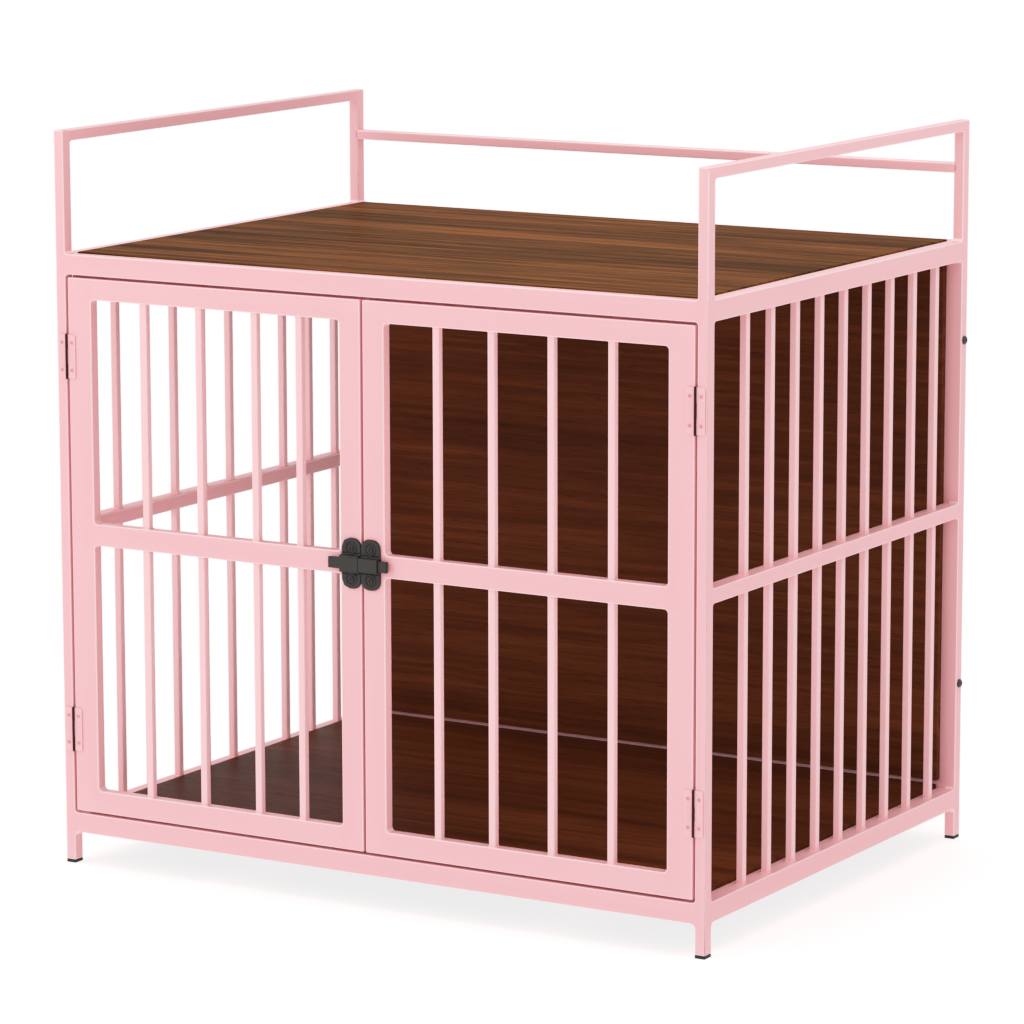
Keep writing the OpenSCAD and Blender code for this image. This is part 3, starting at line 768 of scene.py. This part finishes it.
screws("post_leaf_screws", places, (0, -1, 0), small_screw, leaf_screw_coat, "root", "post_hinge_screws")

# %% [markdown]
# ## The slide bolt
#
# The bolt's plate and its keeper are castings of one pattern: a plate with two round ends, a ring round
# each screw, and a raised guide over the bolt. The guide is a plate seen end on, with a window for the
# bolt, a soft root where it grows out of the plate, and a soft crown.

# %% Sizes of the castings
latch_low, latch_high = span("latch_plate")
latch_z = (latch_low.z + latch_high.z) / 2
guide_out = front - latch_low.y
END_ON = Matrix(((0, 0, 1, 0), (0, -1, 0, 0), (1, 0, 0, 0), (0, 0, 0, 1)))    # local x is up, y is forward
PLATE = 2.5            # thickness of a plate
PLATE_RIM = 0.9
CORNER_CUT = 9.6
WAY = 6.3              # half the height of the bolt's way
WAY_DEPTH = 4.6
LOBES = (-16.5, 16.5)  # the screws and their rings, from the middle of the plate
print("middle of the latch, mm up:", round(latch_z, 2))


# %% Plates with round ends
def round_plate(left, right, soft):
    """The flat plate. `soft` gives the segments of its left and right corners: few look chamfered."""
    width, height = right - left, latch_high.z - latch_low.z
    shape = bmesh.new()
    bmesh.ops.create_grid(shape, x_segments=1, y_segments=1, size=0.5)
    bmesh.ops.scale(shape, vec=(width, height, 1), verts=shape.verts)
    for sign, segments in ((-1, soft[0]), (1, soft[1])):
        corners = [v for v in shape.verts if len(v.link_edges) == 2 and v.co.x * sign > width / 2 - 0.01
                   and abs(v.co.y) > height / 2 - 0.01]
        bmesh.ops.bevel(shape, geom=corners, offset=CORNER_CUT, offset_type="OFFSET", affect="VERTICES",
                        segments=segments, profile=0.5, material=-1)
    pulled_up(shape, shape.faces[:], PLATE)
    bmesh.ops.recalc_face_normals(shape, faces=shape.faces)
    round_edges(shape, sharp_rim(shape, PLATE), PLATE_RIM, 3)
    bmesh.ops.translate(shape, vec=((left + right) / 2, latch_z, -front), verts=shape.verts)
    return moved(shape, UPRIGHT)


# %% Rings and guides
RING_R, RING_W, RING_H = 6.2, 1.5, 0.7
RING_SUNK = 0.2


def ring(x, z, radius=RING_R, width=RING_W, height=RING_H):
    """A raised ring round a screw: a small profile spun full circle."""
    shape = bmesh.new()
    heights = ((radius - width, -RING_SUNK), (radius - width * 0.5, height), (radius + width * 0.5, height),
               (radius + width, -RING_SUNK))
    points = [bmesh.ops.create_vert(shape, co=(r, 0, h))["vert"][0] for r, h in heights]
    edges = [shape.edges.new((a, b)) for a, b in zip(points, points[1:])]
    bmesh.ops.spin(shape, geom=points + edges, cent=(0, 0, 0), axis=(0, 0, 1), angle=math.tau, steps=32,
                   use_merge=True)
    bmesh.ops.holes_fill(shape, edges=[e for e in shape.edges if e.is_boundary], sides=4)
    bmesh.ops.recalc_face_normals(shape, faces=shape.faces)
    if sum(face.normal.z * face.calc_area() for face in shape.faces) < 0:
        bmesh.ops.reverse_faces(shape, faces=shape.faces)
    bmesh.ops.translate(shape, vec=(x, z, PLATE - front), verts=shape.verts)
    return moved(shape, UPRIGHT)


def guide(left, right, half, reach):
    """The raised guide, drawn end on: its foot is wider than its crown, and the bolt's way is a window."""
    foot = half + 2.6
    windows = [(-foot - 1, PLATE, -half, reach + 1), (half, PLATE, foot + 1, reach + 1),
               (-WAY, PLATE, WAY, PLATE + WAY_DEPTH)]
    shape = plate((-foot, 0.4, foot, reach), windows, left, right,
                  lambda x, y: 1.8 if abs(x) > WAY + 0.5 else 0, 0)
    round_edges(shape, sharp_rim(shape, reach, axis=1), 0.5, 3)
    bmesh.ops.translate(shape, vec=(latch_z, -front, 0), verts=shape.verts)
    return moved(shape, END_ON)


# %% Plate, keeper and bolt
STRAP = 7.4            # half the height of the keeper's guide, and of the strap over the plate's


def casting_shapes(low, high, soft, half, reach):
    middle = (low.x + high.x) / 2
    shapes = [round_plate(low.x, high.x, soft), guide(low.x, high.x, half, reach)]
    shapes += [ring(middle, latch_z + rise) for rise in LOBES]
    return shapes


keeper_low, keeper_high = span("latch_keeper")
keeper_right = keeper_low.x + latch_high.x - latch_low.x
bolt_low, bolt_high = span("latch_bolt")
plate_shapes = casting_shapes(latch_low, latch_high, (2, 8), 9, guide_out - 1)
plate_shapes.append(block((latch_low.x + 10, latch_low.y, latch_z - STRAP),
                          (latch_high.x, latch_low.y + 1.2, latch_z + STRAP), 0.5))
piece("bolt_plate", joined(plate_shapes), casting, "left_door", "latch_plate")

keeper_shapes = casting_shapes(keeper_low, Vector((keeper_right, 0, 0)), (8, 4), STRAP, guide_out)
keeper_shapes.append(block((keeper_low.x + 14, front - PLATE - WAY_DEPTH, latch_z - WAY),
                           (keeper_right - 0.4, front - PLATE, latch_z + WAY), 0))
keeper_shapes.append(block((keeper_right - 3, bolt_low.y, bolt_low.z),
                           (keeper_high.x, bolt_high.y, bolt_high.z), 0.8))
piece("bolt_keeper", joined(keeper_shapes), casting, "right_door", "latch_keeper")
piece("sliding_bolt", block(bolt_low, bolt_high, 0.8), casting, "bolt", "latch_bolt")

for name, low_x, high_x, body in (("latch_plate_screws", latch_low.x, latch_high.x, "left_door"),
                                  ("latch_keeper_screws", keeper_low.x, keeper_right, "right_door")):
    places = [((low_x + high_x) / 2, front - PLATE, latch_z + rise) for rise in LOBES]
    screws(name + "_seen", places, (0, -1, 0), (3.4, 1, 1, 5.4, 0.5), casting, body, name)

# %% [markdown]
# ## Frame bolts and feet
#
# Four button-head bolts hold the back's stiles to the rear posts. The head is the screw's head again
# with a bigger rim, and a six-sided socket in place of the cross. The feet are soft-edged pads.

# %% Button heads
BUTTON_R, BUTTON_H = 4.7, 2.8
SOCKET_R, SOCKET_DEPTH = 1.55, 1.8
SIXTH = math.pi / 3


def button(x_sign, y, z):
    shape = bmesh.new()
    bmesh.ops.create_cone(shape, cap_ends=True, segments=30, radius1=BUTTON_R, radius2=BUTTON_R,
                          depth=BUTTON_H)
    bmesh.ops.translate(shape, vec=(0, 0, BUTTON_H / 2), verts=shape.verts)
    top = [e for e in shape.edges if all(v.co.z > BUTTON_H - 0.1 for v in e.verts)]
    round_edges(shape, top, 2, 5)
    flat = max(shape.faces, key=lambda face: face.calc_center_median().z)
    bmesh.ops.inset_region(shape, faces=[flat], thickness=0.6)
    for corner in flat.verts:
        turn = math.atan2(corner.co.y, corner.co.x)
        reach = SOCKET_R / math.cos((turn + SIXTH / 2) % SIXTH - SIXTH / 2)
        corner.co.x, corner.co.y = reach * math.cos(turn), reach * math.sin(turn)
    push_in(shape, flat, SOCKET_DEPTH)
    return moved(shape, Matrix.Translation((x_sign * outer_x, y, z)) @ turned_to((x_sign, 0, 0)))


low, high = span("frame_bolts")
bolt_y = (low.y + high.y) / 2
heads = [button(sign, bolt_y, z) for sign in (-1, 1) for z in (low.z + BUTTON_R, high.z - BUTTON_R)]
piece("frame_bolt_heads", joined(heads), bolt_black, "root", "frame_bolts")

# %% Feet
pads = []
for x in (-1, 1):
    for near in (front, back - post_depth):
        left, right = sorted((x * inner_x, x * outer_x))
        pads.append(block((left, near, 0), (right, near + post_depth, foot_top + 0.3), 0.9, 2))
piece("foot_pads", joined(pads), plastic, "root", "feet")

# %% [markdown]
# ## Room, light and camera
#
# A pale floor and a white sky, a little dimmer towards the right, make the soft and nearly shadowless
# light of a studio. One broad lamp at the front left lifts the front above the sides, a lamp above draws
# the edge highlights, and a weak one inside fills the shade on the left bars.

# %% Floor
floor_shape = bmesh.new()
bmesh.ops.create_grid(floor_shape, x_segments=1, y_segments=1, size=60)
floor_mesh = bpy.data.meshes.new("floor")
floor_shape.to_mesh(floor_mesh)
floor_shape.free()
floor = bpy.data.objects.new("floor", floor_mesh)
bpy.context.collection.objects.link(floor)
paper = bpy.data.materials.new("pale floor")
paper.use_nodes = True
WHITE = (1, 1, 1, 1)
for socket, value in {"Base Color": (0.32, 0.32, 0.32, 1), "Roughness": 0.9, "Specular IOR Level": 0,
                      "Emission Color": WHITE, "Emission Strength": 0.92}.items():
    paper.node_tree.nodes["Principled BSDF"].inputs[socket].default_value = value
floor_mesh.materials.append(paper)
print("floor:", [round(v, 1) for v in floor.dimensions], "m across")

# %% Sky and view
SKY_MIDDLE, SKY_FALL = 1.045, 0.37
sky = bpy.data.worlds.new("white sky")
sky.use_nodes = True
sky_tree = sky.node_tree
direction = sky_tree.nodes.new("ShaderNodeTexCoord")
parts = sky_tree.nodes.new("ShaderNodeSeparateXYZ")
fall = sky_tree.nodes.new("ShaderNodeMath")
fall.operation = "MULTIPLY_ADD"
fall.inputs[1].default_value, fall.inputs[2].default_value = -SKY_FALL, SKY_MIDDLE
sky_tree.links.new(direction.outputs["Generated"], parts.inputs[0])
sky_tree.links.new(parts.outputs["X"], fall.inputs[0])
sky_tree.links.new(fall.outputs[0], sky_tree.nodes["Background"].inputs["Strength"])
sky_tree.nodes["Background"].inputs["Color"].default_value = WHITE
scene = bpy.context.scene
scene.world = sky
view = scene.view_settings
view.view_transform = "Standard"
view.use_curve_mapping = True
view.curve_mapping.white_level = (1.2, 1.2, 1.2)
shoulder = view.curve_mapping.curves[3]
for at, light in ((0.3, 0.36), (0.55, 0.65), (0.72, 0.8), (0.92, 0.9)):
    shoulder.points.new(at, light)
view.curve_mapping.update()
print("sky strength from left to right:", [round(SKY_MIDDLE - SKY_FALL * x, 3) for x in (-1, 0, 1)])


# %% Lamps
def lamp(name, place, target, size, power, spread=180):
    light = bpy.data.lights.new(name, "AREA")
    light.size = size
    light.energy = power
    light.spread = math.radians(spread)
    thing = bpy.data.objects.new(name, light)
    thing.location = place
    thing.rotation_euler = (Vector(target) - Vector(place)).to_track_quat("-Z", "Y").to_euler()
    thing.visible_camera = False
    bpy.context.collection.objects.link(thing)
    print(name, "lamp:", power, "W")


lamp("front left", (-2.2, -2.8, 2.0), (0, 0, 0.4), 1.8, 25)
lamp("above right", (1.1, -0.2, 2.1), (-0.1, 0, 0.7), 1.1, 8)
lamp("inside", (0.36, 0, 0.36), (-1, 0, 0.3), 0.5, 0.5, 80)

# %% Camera
YAW, PITCH, ROLL = math.radians(30.821), math.radians(10.028), math.radians(-0.104)
forward = Vector((-math.sin(YAW) * math.cos(PITCH), math.cos(YAW) * math.cos(PITCH), -math.sin(PITCH)))
right = Vector((math.cos(YAW), math.sin(YAW), 0))
up = right.cross(forward)
turned_right = right * math.cos(ROLL) + up * math.sin(ROLL)
turned_up = up * math.cos(ROLL) - right * math.sin(ROLL)
camera_data = bpy.data.cameras.new("camera")
camera_data.sensor_width = 36
camera_data.lens = 164.72
camera_data.clip_end = 200
camera = bpy.data.objects.new("camera", camera_data)
axes = Matrix((turned_right, turned_up, -forward)).transposed()
camera.matrix_world = Matrix.Translation((2.5966, -4.0628 + front * MM, 1.2793)) @ axes.to_4x4()
bpy.context.collection.objects.link(camera)
scene.camera = camera
print("camera, m:", [round(v, 3) for v in camera.matrix_world.translation])
